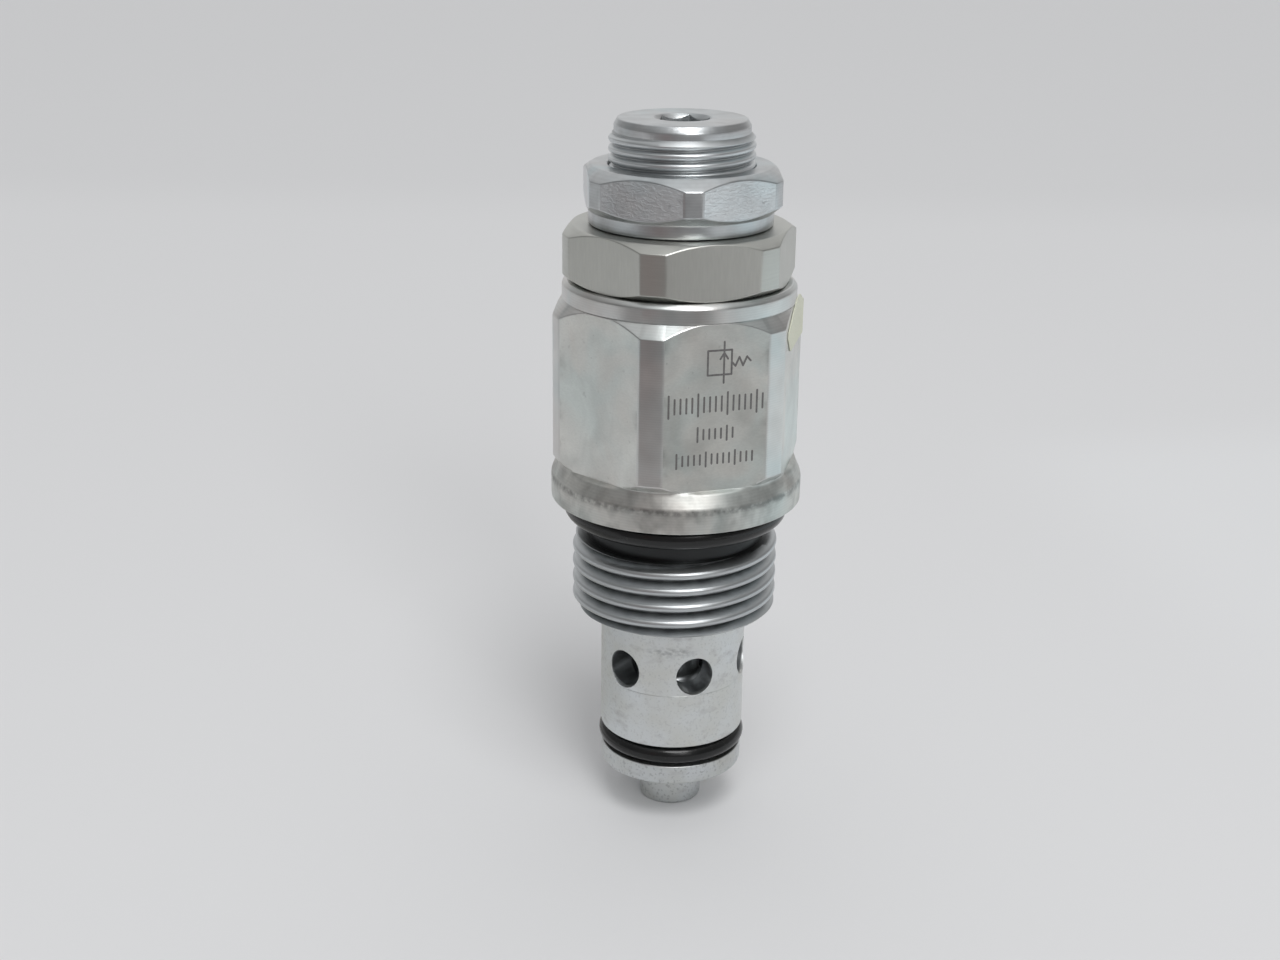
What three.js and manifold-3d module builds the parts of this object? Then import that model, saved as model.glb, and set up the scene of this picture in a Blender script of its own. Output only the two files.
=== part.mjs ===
// Screw-in pressure relief cartridge valve, direct acting, with a lock nut and a key-set adjuster.
// Millimetres. +Z is the cartridge's axis: the inlet tip ends at z = 0 and the adjuster is on top.
// Each flat or port at "facing" angle 0 looks along -Y, and angles grow towards +X.
import * as THREE from 'three';
import { mergeVertices } from 'three/addons/utils/BufferGeometryUtils.js';
import Module from 'manifold-3d';

const wasm = await Module();
wasm.setup();

// ---- Driving dimensions -------------------------------------------------------------------

const INCH = 25.4;
const TURN = 2 * Math.PI;
const FACE_GAP = 0.05; // between faces that touch
const RUNNING = 0.1; // radial clearance of a running or screwed fit
const ROUND = 36; // facets round a large diameter
const SMALL = 20; // facets round a small diameter

// Heights of the main faces along the axis.
const TIP_SHOULDER = 4.92;
const COLLAR_TOP = 7.04;
const SLEEVE_BOTTOM = 9.41;
const PORT_HEIGHT = 17.85;
const BODY_BOTTOM = 23.79;
const SEAT_FACE = 36.37; // underside of the flange, which meets the cavity's face
const FLANGE_TOP = 38.9;
const HEX_BOTTOM = 40.6;
const HEX_TOP = 56.58;
const BODY_COLLAR = 57.97;
const BODY_TOP = 59.86;
const CAP_BOTTOM = BODY_TOP + 0.06;
const CAP_TOP = 65.63;
const NUT_BOTTOM = CAP_TOP + FACE_GAP;
const NUT_TOP = 71.75;
const SCREW_TOP = 76.37;

// Radii of the round parts.
const TIP_RADIUS = 3.41;
const COLLAR_RADIUS = 7.82;
const SLEEVE_RADIUS = 7.91;
const GUIDE_BORE = 5.0;
const SPRING_BORE = 7.25;
const FLANGE_RADIUS = 13.385;
const BODY_COLLAR_RADIUS = 12.226;
const CAP_SPIGOT_RADIUS = 9.4;
const SCREW_HEAD_BORE = 8.1;

// Threads.
const CAVITY_THREAD = { major: 11.08, root: 9.97, pitch: INCH / 14, firstCrest: 31.346 };
const ADJUSTER_THREAD = { major: 7.5, root: 6.9, pitch: 1, firstCrest: 73.8 };

// Hexagons: across flats, radius of the turned corners, and where a flat faces (degrees).
const BODY_HEX = { acrossFlats: 24.3, corner: 13.4, facing: 0 };
const CAP_HEX = { acrossFlats: 22.5, corner: 12.29, facing: -1 };
const NUT_HEX = { acrossFlats: 19.5, corner: 10.77, facing: 18.2 };
const SOCKET_HEX = { acrossFlats: 5, facing: -1.5 };

// Ports, poppet and spring.
const PORTS = 6;
const PORT_RADIUS = 2;
const INLET_RADIUS = 2;
const SEAT_TOP = 13;
const PISTON_BOTTOM = 21.5;
const PISTON_TOP = 27;
const SLEEVE_TOP = 28;
const BALL = { radius: 2, z: 27.9 };
const LOWER_SEAT = { bottom: 28.6, top: 31, radius: 6.3 };
const SPRING = { wire: 2.2, radius: 5.2, turns: 6.6, endPitch: 2.3 };
const PILOT = { radius: SPRING.radius - SPRING.wire / 2 - 0.15, length: 2.5, edge: 0.5 };
const CAP_SHOULDER = 48.9; // in the body, under the cap's spigot
const HEAD = { bottom: 54, top: 58, radius: 8 };
const UPPER_SEAT_FACE = 52.5;

// Rubber rings: radius of the centre line, radius of the section, height.
const NOSE_RING = { radius: 7.16, section: 0.95, z: 8.225 };
const BOSS_RING = { radius: 10.82, section: 1.23, z: 35.09 };
const CAP_RING = { radius: 10.2, section: 0.75, z: 59 };
const ADJUSTER_RING = { radius: 7.4, section: 0.6, z: 55.5 };

// Rings of flat section.
const BACKUP_RING = { inner: 6.8, outer: 7.95, bottom: 56.3, top: 57.2 };
const NUT_SEAL = { inner: 7.65, outer: 8.6, bottom: NUT_BOTTOM + FACE_GAP, top: NUT_BOTTOM + 1.5 };
const SHIM = {
  inner: 4.1,
  outer: 6.3,
  bottom: LOWER_SEAT.top + FACE_GAP,
  top: LOWER_SEAT.top + FACE_GAP + 0.5,
};

// ---- Materials ----------------------------------------------------------------------------

function metal(color, roughness) {
  return new THREE.MeshStandardMaterial({ color, roughness, metalness: 1 });
}

const zincPlate = metal(0xc4c7c6, 0.34);
const plainSteel = metal(0xb0ada5, 0.38);
const sleeveSteel = metal(0xbfc2c3, 0.5);
const hardenedSteel = metal(0x9c9c9c, 0.25);
const springSteel = metal(0x6f7072, 0.45);
const rubber = new THREE.MeshStandardMaterial({ color: 0x17171a, roughness: 0.55, metalness: 0 });
const whitePlastic = new THREE.MeshStandardMaterial({ color: 0xe8e6df, roughness: 0.5, metalness: 0 });
const paper = new THREE.MeshStandardMaterial({ color: 0xe6e3c4, roughness: 0.8, metalness: 0 });

// ---- From geometry to solids and back -----------------------------------------------------

// A closed geometry as a solid for cutting and joining, turned inside out if it has to be.
function solid(geometry) {
  const bare = geometry.clone();
  bare.deleteAttribute('normal');
  bare.deleteAttribute('uv');
  const merged = mergeVertices(bare, 1e-4);
  const vertProperties = new Float32Array(merged.attributes.position.array);
  const corners = Array.from(merged.index.array);
  const triangles = [];
  for (let i = 0; i < corners.length; i += 3) {
    const [a, b, c] = corners.slice(i, i + 3);
    if (a !== b && b !== c && c !== a) triangles.push([a, b, c]);
  }
  const at = (i) => new THREE.Vector3().fromArray(vertProperties, 3 * i);
  const volume = triangles.reduce((sum, [a, b, c]) => sum + at(a).dot(at(b).cross(at(c))), 0);
  const ordered = volume < 0 ? triangles.map(([a, b, c]) => [a, c, b]) : triangles;
  const triVerts = new Uint32Array(ordered.flat());
  return new wasm.Manifold(new wasm.Mesh({ numProp: 3, vertProperties, triVerts }));
}

function geometryOf(shape) {
  const mesh = shape.getMesh();
  const geometry = new THREE.BufferGeometry();
  geometry.setAttribute('position', new THREE.BufferAttribute(mesh.vertProperties, 3));
  geometry.setIndex(new THREE.BufferAttribute(mesh.triVerts, 1));
  geometry.computeVertexNormals();
  return geometry;
}

// ---- Basic shapes -------------------------------------------------------------------------

// A solid of revolution about Z. The outline is a list of [radius, z].
function turned(outline, facets = ROUND) {
  const points = outline.map(([radius, z]) => new THREE.Vector2(radius, z));
  const geometry = new THREE.LatheGeometry(points, facets);
  geometry.rotateX(Math.PI / 2);
  return solid(geometry);
}

function disc(radius, bottom, top, facets = ROUND) {
  return turned([[0, bottom], [radius, bottom], [radius, top], [0, top]], facets);
}

function flatRing({ inner, outer, bottom, top }) {
  const section = [[inner, bottom], [outer, bottom], [outer, top], [inner, top], [inner, bottom]];
  return turned(section, SMALL);
}

function oRing({ radius, section, z }, sides = 8, facets = ROUND) {
  const geometry = new THREE.TorusGeometry(radius, section, sides, facets);
  geometry.translate(0, 0, z);
  return solid(geometry);
}

// A hexagonal prism with one flat facing the given angle.
function hexPrism({ acrossFlats, facing }, bottom, top) {
  const shape = new THREE.Shape();
  const corner = acrossFlats / 2 / Math.cos(Math.PI / 6);
  for (let i = 0; i < 6; i += 1) {
    const angle = THREE.MathUtils.degToRad(facing - 90 + 30 + 60 * i);
    const point = [corner * Math.cos(angle), corner * Math.sin(angle)];
    if (i === 0) shape.moveTo(...point);
    else shape.lineTo(...point);
  }
  shape.closePath();
  const geometry = new THREE.ExtrudeGeometry(shape, { depth: top - bottom, bevelEnabled: false });
  geometry.translate(0, 0, bottom);
  return solid(geometry);
}

// Mills six flats on a turned solid between two heights.
function millHexagon(blank, hex, bottom, top) {
  const waste = disc(2 * hex.corner, bottom, top).subtract(hexPrism(hex, bottom - 1, top + 1));
  return blank.subtract(waste);
}

// A rod with a right-hand thread of 60 degree profile, between two heights, with both ends
// chamfered. The crest passes z = firstCrest on the +X side.
function threadedRod({ major, root, pitch, firstCrest }, bottom, top, chamfer, facets) {
  const crestHalf = pitch / 16;
  const footHalf = crestHalf + (major - root) * Math.tan(Math.PI / 6);
  const section = [[root, -footHalf], [major, -crestHalf], [major, crestHalf], [root, footHalf]];
  const first = Math.floor(((bottom - firstCrest) / pitch) * facets) - facets;
  const steps = Math.ceil(((top - firstCrest) / pitch) * facets) + facets - first;
  const positions = [];
  for (let i = 0; i <= steps; i += 1) {
    const angle = (TURN * (first + i)) / facets;
    const z = firstCrest + (pitch * (first + i)) / facets;
    for (const [radius, rise] of section) {
      positions.push(radius * Math.cos(angle), radius * Math.sin(angle), z + rise);
    }
  }
  const axisBelow = positions.length / 3;
  const axisAbove = axisBelow + 1;
  positions.push(0, 0, firstCrest + (pitch * first) / facets);
  positions.push(0, 0, firstCrest + (pitch * (first + steps)) / facets);

  const index = [];
  const point = (step, j) => 4 * step + j;
  const quad = (a, b, c, d) => index.push(a, b, c, c, b, d);
  const fan = (loop, centre) => {
    loop.forEach((from, k) => index.push(loop[(k + 1) % loop.length], from, centre));
  };
  for (let i = 0; i < steps; i += 1) {
    for (let j = 0; j < 3; j += 1) {
      quad(point(i, j), point(i + 1, j), point(i, j + 1), point(i + 1, j + 1));
    }
  }
  for (let i = 0; i < steps - facets; i += 1) {
    quad(point(i, 3), point(i + 1, 3), point(i + facets, 0), point(i + facets + 1, 0));
  }
  const lowerEdge = [];
  const upperEdge = [];
  for (let i = 0; i <= facets; i += 1) {
    lowerEdge.push(point(i, 0));
    upperEdge.push(point(steps - i, 3));
  }
  fan([...lowerEdge, point(0, 3), point(0, 2), point(0, 1)], axisBelow);
  fan([...upperEdge, point(steps, 0), point(steps, 1), point(steps, 2)], axisAbove);

  const geometry = new THREE.BufferGeometry();
  geometry.setAttribute('position', new THREE.Float32BufferAttribute(positions, 3));
  geometry.setIndex(index);
  const beyond = 1; // how far the trimming shape stands outside the crests
  const envelope = turned([
    [0, bottom],
    [major - chamfer, bottom],
    [major + beyond, bottom + chamfer + beyond],
    [major + beyond, top - chamfer - beyond],
    [major - chamfer, top],
    [0, top],
  ], facets);
  return solid(geometry).intersect(envelope);
}

// ---- Nose: inlet seat, sleeve and their ring -----------------------------------------------

// Tip, end collar, groove floor and the shank that is pressed into the sleeve. The inlet runs
// up through it and ends in the seat's edge.
function inletSeat() {
  const groove = 6.2;
  const shank = 5.75;
  const edge = 0.25;
  const throat = 2.6;
  const seatWidth = 0.6;
  return turned([
    [INLET_RADIUS, 0],
    [TIP_RADIUS - edge, 0],
    [TIP_RADIUS, edge],
    [TIP_RADIUS, TIP_SHOULDER],
    [COLLAR_RADIUS - edge, TIP_SHOULDER],
    [COLLAR_RADIUS, TIP_SHOULDER + edge],
    [COLLAR_RADIUS, COLLAR_TOP],
    [groove, COLLAR_TOP],
    [groove, SLEEVE_BOTTOM - FACE_GAP],
    [shank, SLEEVE_BOTTOM - FACE_GAP],
    [shank, SEAT_TOP],
    [throat + seatWidth, SEAT_TOP],
    [throat, SEAT_TOP - seatWidth],
    [throat, SEAT_TOP - 1.4],
    [INLET_RADIUS, SEAT_TOP - 1.4],
    [INLET_RADIUS, 0],
  ]);
}

// The sleeve with its six radial ports. Its spigot screws into the body's lower end.
function noseSleeve() {
  const spigot = SPRING_BORE - RUNNING;
  const shankBore = 5.8;
  const edge = 0.2;
  const drillFacets = 16;
  let sleeve = turned([
    [shankBore, SLEEVE_BOTTOM],
    [SLEEVE_RADIUS - edge, SLEEVE_BOTTOM],
    [SLEEVE_RADIUS, SLEEVE_BOTTOM + edge],
    [SLEEVE_RADIUS, BODY_BOTTOM - FACE_GAP],
    [spigot, BODY_BOTTOM - FACE_GAP],
    [spigot, SLEEVE_TOP - edge],
    [spigot - edge, SLEEVE_TOP],
    [GUIDE_BORE, SLEEVE_TOP],
    [GUIDE_BORE, SEAT_TOP + RUNNING],
    [shankBore, SEAT_TOP + RUNNING],
    [shankBore, SLEEVE_BOTTOM],
  ]);
  for (let i = 0; i < PORTS; i += 1) {
    const drill = new THREE.CylinderGeometry(PORT_RADIUS, PORT_RADIUS, SLEEVE_RADIUS, drillFacets);
    drill.translate(0, -SLEEVE_RADIUS, 0);
    drill.rotateZ((TURN * i) / PORTS);
    drill.translate(0, 0, PORT_HEIGHT);
    sleeve = sleeve.subtract(solid(drill));
  }
  return sleeve;
}

// ---- Body and its rings --------------------------------------------------------------------

// Cavity thread, ring groove, flange, hexagon and collar in one turned and milled piece. The
// flange's face is relieved round the ring, so that only its rim meets the cavity.
function valveBody() {
  const undercut = 9.55;
  const thread = { top: 31.9, chamfer: 0.5 };
  const relief = { radius: 12.2, depth: 0.1 };
  const neck = 12.75; // between the flange's cone and the hexagon
  const neckHeight = 0.3;
  const topEdge = 0.43;
  const ringPocket = { radius: 11, bottom: 58.2 };
  const beyond = 1; // how far a joined or cutting shape runs past the face
  const outside = turned([
    [0, BODY_BOTTOM + beyond],
    [undercut, BODY_BOTTOM + beyond],
    [undercut, SEAT_FACE + relief.depth],
    [relief.radius, SEAT_FACE + relief.depth],
    [relief.radius, SEAT_FACE],
    [FLANGE_RADIUS, SEAT_FACE],
    [FLANGE_RADIUS, FLANGE_TOP],
    [neck, HEX_BOTTOM + 0.1 - neckHeight],
    [neck, HEX_BOTTOM + 0.1],
    [BODY_HEX.corner, HEX_BOTTOM + 0.1 + (BODY_HEX.corner - neck)],
    [BODY_HEX.corner, HEX_TOP],
    [BODY_COLLAR_RADIUS, BODY_COLLAR],
    [BODY_COLLAR_RADIUS, BODY_TOP - topEdge],
    [BODY_COLLAR_RADIUS - topEdge, BODY_TOP],
    [0, BODY_TOP],
  ]);
  const bore = turned([
    [0, BODY_BOTTOM - beyond],
    [SPRING_BORE, BODY_BOTTOM - beyond],
    [SPRING_BORE, CAP_SHOULDER],
    [CAP_SPIGOT_RADIUS + RUNNING, CAP_SHOULDER],
    [CAP_SPIGOT_RADIUS + RUNNING, ringPocket.bottom],
    [ringPocket.radius, ringPocket.bottom],
    [ringPocket.radius, BODY_TOP + beyond],
    [0, BODY_TOP + beyond],
  ]);
  const milled = millHexagon(outside, BODY_HEX, HEX_BOTTOM, BODY_COLLAR);
  const screwed = threadedRod(CAVITY_THREAD, BODY_BOTTOM, thread.top, thread.chamfer, ROUND);
  return milled.add(screwed).subtract(bore);
}

// A blank paper label with two clipped corners, standing just clear of the flat that faces
// 60 degrees and sticking up past the hexagon's shoulder.
function blankLabel() {
  const thickness = 0.12;
  const facing = 60;
  const outline = new THREE.Shape([
    new THREE.Vector2(-4.4, 53.6),
    new THREE.Vector2(5.3, 53.5),
    new THREE.Vector2(5.3, 57.2),
    new THREE.Vector2(2.4, 58.5),
    new THREE.Vector2(0.8, 58.4),
    new THREE.Vector2(-4.4, 55.9),
  ]);
  const geometry = new THREE.ExtrudeGeometry(outline, { depth: thickness, bevelEnabled: false });
  geometry.rotateX(Math.PI / 2);
  geometry.translate(0, -(BODY_HEX.acrossFlats / 2 + FACE_GAP), 0);
  geometry.rotateZ(THREE.MathUtils.degToRad(facing));
  return solid(geometry);
}

// ---- Cap, adjuster and lock nut --------------------------------------------------------------

// The cap's hexagon sits on the body and its spigot screws into it. The wide bore takes the
// head of the adjusting screw, and the narrow one above it is the adjuster's thread.
function endCap() {
  const threadBore = ADJUSTER_THREAD.major + RUNNING;
  const threadBottom = 59.6;
  const spigotBottom = CAP_SHOULDER + RUNNING;
  const face = CAP_HEX.acrossFlats / 2;
  const blank = turned([
    [SCREW_HEAD_BORE, spigotBottom],
    [CAP_SPIGOT_RADIUS, spigotBottom],
    [CAP_SPIGOT_RADIUS, CAP_BOTTOM],
    [face, CAP_BOTTOM],
    [CAP_HEX.corner, CAP_BOTTOM + 0.73],
    [CAP_HEX.corner, CAP_TOP - 0.8],
    [face - 0.1, CAP_TOP],
    [threadBore, CAP_TOP],
    [threadBore, threadBottom],
    [SCREW_HEAD_BORE, threadBottom],
    [SCREW_HEAD_BORE, spigotBottom],
  ]);
  return millHexagon(blank, CAP_HEX, CAP_BOTTOM, CAP_TOP + 1);
}

// Threaded above, with a head below that carries the seal and can't pass the cap's thread.
function adjustingScrew() {
  const thread = { bottom: 61, top: 75, chamfer: 0.5 };
  const core = ADJUSTER_THREAD.root - 0.3;
  const neckBottom = thread.top - 0.1;
  const neck = 6.98;
  const topRadius = 6.59;
  const topEdge = 0.67;
  const groove = { radius: 6.7, bottom: 54.8, top: 57.3 };
  const socketDepth = 6;
  const outside = turned([
    [0, HEAD.bottom],
    [HEAD.radius, HEAD.bottom],
    [HEAD.radius, groove.bottom],
    [groove.radius, groove.bottom],
    [groove.radius, groove.top],
    [HEAD.radius, groove.top],
    [HEAD.radius, HEAD.top],
    [core, HEAD.top],
    [core, neckBottom],
    [neck, neckBottom],
    [neck, SCREW_TOP - topEdge],
    [topRadius, SCREW_TOP],
    [0, SCREW_TOP],
  ], SMALL);
  const screwed = threadedRod(ADJUSTER_THREAD, thread.bottom, thread.top, thread.chamfer, SMALL);
  const socket = hexPrism(SOCKET_HEX, SCREW_TOP - socketDepth, SCREW_TOP + 1);
  return outside.add(screwed).subtract(socket);
}

// A hexagon nut on a round foot, with a pocket underneath for its seal.
function lockNut() {
  const bore = ADJUSTER_THREAD.major + RUNNING;
  const boreEdge = 0.3;
  const foot = { radius: 9.54, edge: 0.25, top: NUT_BOTTOM + 1.2 };
  const hexBottom = NUT_BOTTOM + 1.45;
  const face = 9.3;
  const pocket = { radius: 8.7, top: NUT_BOTTOM + 1.6 };
  const blank = turned([
    [pocket.radius, NUT_BOTTOM],
    [foot.radius - foot.edge, NUT_BOTTOM],
    [foot.radius, NUT_BOTTOM + foot.edge],
    [foot.radius, foot.top],
    [foot.radius + 0.1, hexBottom],
    [NUT_HEX.corner, hexBottom + 1],
    [NUT_HEX.corner, NUT_TOP - 1.05],
    [face, NUT_TOP],
    [bore + boreEdge, NUT_TOP],
    [bore, NUT_TOP - boreEdge],
    [bore, pocket.top],
    [pocket.radius, pocket.top],
    [pocket.radius, NUT_BOTTOM],
  ]);
  return millHexagon(blank, NUT_HEX, hexBottom, NUT_TOP + 1);
}

// ---- Poppet and spring -----------------------------------------------------------------------

// The cone stands a hair off the seat's edge. The ball's pocket is in the top of the stem.
function poppet() {
  const stem = 3;
  const tip = { radius: 1.2, z: SEAT_TOP - 1.9 };
  const collar = { radius: 3.9, height: 0.7 };
  const coneTop = tip.z + (collar.radius - tip.radius);
  const pocket = BALL.radius + RUNNING;
  const pocketFloor = BALL.z - BALL.radius - FACE_GAP;
  return turned([
    [0, tip.z],
    [tip.radius, tip.z],
    [collar.radius, coneTop],
    [collar.radius, coneTop + collar.height],
    [stem, coneTop + collar.height + (collar.radius - stem)],
    [stem, PISTON_TOP],
    [pocket, PISTON_TOP],
    [pocket, pocketFloor],
    [0, pocketFloor],
  ], SMALL);
}

// Close-fitting guide on the stem, with two oil grooves.
function dampingPiston() {
  const bore = 3.05;
  const outer = GUIDE_BORE - RUNNING;
  const edge = 0.3;
  const groove = { depth: 0.3, slope: 0.1, width: 0.5, heights: [23, 25] };
  const outline = [[bore, PISTON_BOTTOM], [outer - edge, PISTON_BOTTOM], [outer, PISTON_BOTTOM + edge]];
  for (const z of groove.heights) {
    outline.push([outer, z], [outer - groove.depth, z + groove.slope]);
    outline.push([outer - groove.depth, z + groove.width - groove.slope], [outer, z + groove.width]);
  }
  outline.push([outer, PISTON_TOP], [bore, PISTON_TOP], [bore, PISTON_BOTTOM]);
  return turned(outline, SMALL);
}

function pivotBall() {
  const geometry = new THREE.SphereGeometry(BALL.radius, 16, 10);
  geometry.translate(0, 0, BALL.z);
  return solid(geometry);
}

// The lower seat rides on the ball, with its pilot in the spring.
function lowerSpringSeat() {
  const pocket = BALL.radius + RUNNING;
  const pocketTop = BALL.z + BALL.radius + FACE_GAP;
  return turned([
    [0, pocketTop],
    [pocket, pocketTop],
    [pocket, LOWER_SEAT.bottom],
    [LOWER_SEAT.radius, LOWER_SEAT.bottom],
    [LOWER_SEAT.radius, LOWER_SEAT.top],
    [PILOT.radius, LOWER_SEAT.top],
    [PILOT.radius, LOWER_SEAT.top + PILOT.length - PILOT.edge],
    [PILOT.radius - PILOT.edge, LOWER_SEAT.top + PILOT.length],
    [0, LOWER_SEAT.top + PILOT.length],
  ], SMALL);
}

// The upper seat's disc lies under the adjusting screw's head, with its pilot in the spring.
function upperSpringSeat() {
  const radius = 6.7;
  const top = HEAD.bottom - FACE_GAP;
  return turned([
    [0, UPPER_SEAT_FACE - PILOT.length],
    [PILOT.radius - PILOT.edge, UPPER_SEAT_FACE - PILOT.length],
    [PILOT.radius, UPPER_SEAT_FACE - PILOT.length + PILOT.edge],
    [PILOT.radius, UPPER_SEAT_FACE],
    [radius, UPPER_SEAT_FACE],
    [radius, top],
    [0, top],
  ], SMALL);
}

// A round-wire coil with closed ends, ground flat.
class CoilPath extends THREE.Curve {
  constructor(bottom, top) {
    super();
    this.bottom = bottom;
    this.top = top;
  }

  getPoint(t, target = new THREE.Vector3()) {
    const turns = SPRING.turns * t;
    const rise = this.top - this.bottom;
    const openPitch = (rise - 2 * SPRING.endPitch) / (SPRING.turns - 2);
    const open = THREE.MathUtils.clamp(turns - 1, 0, SPRING.turns - 2);
    const z = this.bottom + SPRING.endPitch * (turns - open) + openPitch * open;
    const angle = TURN * turns;
    return target.set(SPRING.radius * Math.cos(angle), SPRING.radius * Math.sin(angle), z);
  }
}

function mainSpring() {
  const bottom = SHIM.top + FACE_GAP;
  const top = UPPER_SEAT_FACE - FACE_GAP;
  const ground = 0.35; // from the flat end to the wire's centre
  const sides = 8;
  const stepsPerTurn = 12;
  const circle = new THREE.Shape();
  for (let i = 0; i < sides; i += 1) {
    const angle = (TURN * i) / sides;
    const point = [(SPRING.wire / 2) * Math.cos(angle), (SPRING.wire / 2) * Math.sin(angle)];
    if (i === 0) circle.moveTo(...point);
    else circle.lineTo(...point);
  }
  circle.closePath();
  const wire = new THREE.ExtrudeGeometry(circle, {
    steps: Math.round(SPRING.turns * stepsPerTurn),
    extrudePath: new CoilPath(bottom + ground, top - ground),
  });
  return solid(wire).intersect(disc(SPRING_BORE, bottom, top, SMALL));
}

// ---- Assembly --------------------------------------------------------------------------------

const cartridge = new THREE.Group();

function place(name, shape, material) {
  const mesh = new THREE.Mesh(geometryOf(shape), material);
  mesh.name = name;
  cartridge.add(mesh);
}

place('inlet_seat', inletSeat(), sleeveSteel);
place('nose_o_ring', oRing(NOSE_RING), rubber);
place('nose_sleeve', noseSleeve(), sleeveSteel);
place('valve_body', valveBody(), zincPlate);
place('boss_o_ring', oRing(BOSS_RING), rubber);
place('blank_label', blankLabel(), paper);
place('end_cap', endCap(), plainSteel);
place('cap_o_ring', oRing(CAP_RING, 6), rubber);
place('adjusting_screw', adjustingScrew(), zincPlate);
place('adjuster_o_ring', oRing(ADJUSTER_RING, 6, SMALL), rubber);
place('adjuster_backup_ring', flatRing(BACKUP_RING), whitePlastic);
place('lock_nut', lockNut(), zincPlate);
place('lock_nut_seal', flatRing(NUT_SEAL), whitePlastic);
place('poppet', poppet(), hardenedSteel);
place('damping_piston', dampingPiston(), hardenedSteel);
place('pivot_ball', pivotBall(), hardenedSteel);
place('lower_spring_seat', lowerSpringSeat(), hardenedSteel);
place('shim_washer', flatRing(SHIM), hardenedSteel);
place('main_spring', mainSpring(), springSteel);
place('upper_spring_seat', upperSpringSeat(), hardenedSteel);

export default cartridge;
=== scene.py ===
"""Looks of the cartridge valve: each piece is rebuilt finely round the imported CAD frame.

Lengths are millimetres in this script's own names and become metres in the meshes. An angle is
where something faces, in degrees: 0 faces -Y, and angles grow towards +X.
"""

import math

import bmesh
import bpy
from mathutils import Matrix, Vector


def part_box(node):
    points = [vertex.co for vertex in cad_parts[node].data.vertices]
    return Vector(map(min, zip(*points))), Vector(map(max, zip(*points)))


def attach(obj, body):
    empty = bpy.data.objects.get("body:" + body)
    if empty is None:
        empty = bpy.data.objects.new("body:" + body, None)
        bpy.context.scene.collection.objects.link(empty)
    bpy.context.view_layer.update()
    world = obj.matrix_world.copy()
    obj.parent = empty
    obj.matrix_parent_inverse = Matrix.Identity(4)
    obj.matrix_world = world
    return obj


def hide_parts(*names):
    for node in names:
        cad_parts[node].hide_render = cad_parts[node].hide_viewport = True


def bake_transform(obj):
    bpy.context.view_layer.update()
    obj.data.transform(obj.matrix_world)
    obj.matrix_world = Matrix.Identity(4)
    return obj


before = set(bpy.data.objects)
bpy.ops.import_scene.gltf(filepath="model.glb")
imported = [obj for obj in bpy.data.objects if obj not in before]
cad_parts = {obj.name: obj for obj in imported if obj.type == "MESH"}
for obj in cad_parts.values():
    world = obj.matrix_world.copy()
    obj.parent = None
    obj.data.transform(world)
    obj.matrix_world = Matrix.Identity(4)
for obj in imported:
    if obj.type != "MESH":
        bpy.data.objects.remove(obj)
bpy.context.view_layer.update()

MM = 0.001
INCH = 25.4
TURN = 2 * math.pi
ROUND_COLUMNS = 128
EDGE = 0.07  # how softly a flat runs into its turned corner
CUT_SLIVER = 0.0008  # corners this close after a cut are one corner
MEETING_ANGLES = (-0.014, -0.007, 0.007, 0.014)  # radians either side of where a flat ends


def span(node):
    """Lowest and highest point of a CAD node, in millimetres."""
    low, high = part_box(node)
    return low.z / MM, high.z / MM


def radius_of(node):
    """Largest radius of a round CAD node about the valve's axis, in millimetres."""
    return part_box(node)[1].x / MM


# ---- Driving sizes ---------------------------------------------------------------------------

TIP_Z, SEAT_TOP = span("inlet_seat")
SLEEVE_Z, SLEEVE_TOP = span("nose_sleeve")
BODY_Z, BODY_TOP = span("valve_body")
CAP_SPIGOT_Z, CAP_TOP = span("end_cap")
NUT_Z, NUT_TOP = span("lock_nut")
SCREW_Z, SCREW_TOP = span("adjusting_screw")
CAP_Z = BODY_TOP + 0.06

SLEEVE_RADIUS = radius_of("nose_sleeve")
FLANGE_RADIUS = 13.385
FLANGE_TOP = 38.9
SEAT_FACE = 36.37
HEX_Z = 40.6
SPRING_BORE = 7.25
GUIDE_BORE = 5.0
INLET_RADIUS = 2.0
PORT_Z = 17.85
PORT_RADIUS = 2.0
SCREW_CORE = 6.6
STEM_RADIUS = 3.0
BALL_POCKET = 2.1
SPRING_PILOT = 3.95

BODY_HEX = {"across": 24.3, "corner": 13.4, "facing": 0}
CAP_HEX = {"across": 22.5, "corner": 12.29, "facing": -1}
NUT_HEX = {"across": 19.5, "corner": 10.77, "facing": 18.2}
SOCKET_HEX = {"across": 5, "corner": None, "facing": -1.5}
CAVITY_THREAD = {
    "major": 11.08, "root": 9.97, "pitch": INCH / 14, "first_crest": 31.346, "crest_half": 0.25,
}
ADJUSTER_THREAD = {
    "major": 7.5, "root": 7.08, "pitch": 1.0, "first_crest": 73.8, "crest_half": 0.2,
}
UNDERCUT_Z = 31.9  # the cavity thread ends here, below the groove of the boss O-ring


# ---- Mesh building ---------------------------------------------------------------------------

def rounded(outline, closed):
    """The outline's points with each corner rounded by its own size: [(radius, z, size), ...]."""
    points = []
    for i, (radius, z, size) in enumerate(outline):
        corner = Vector((radius, z))
        if not size or not (closed or 0 < i < len(outline) - 1):
            points.append(corner)
            continue
        before = Vector(outline[i - 1][:2]) - corner
        after = Vector(outline[(i + 1) % len(outline)][:2]) - corner
        for side in (before, after):
            side *= min(size / max(side.length, 1e-9), 0.45)
        for t in (0, 1 / 3, 2 / 3, 1):
            points.append(corner + before * (1 - t) ** 2 + after * t ** 2)
    return points


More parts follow.
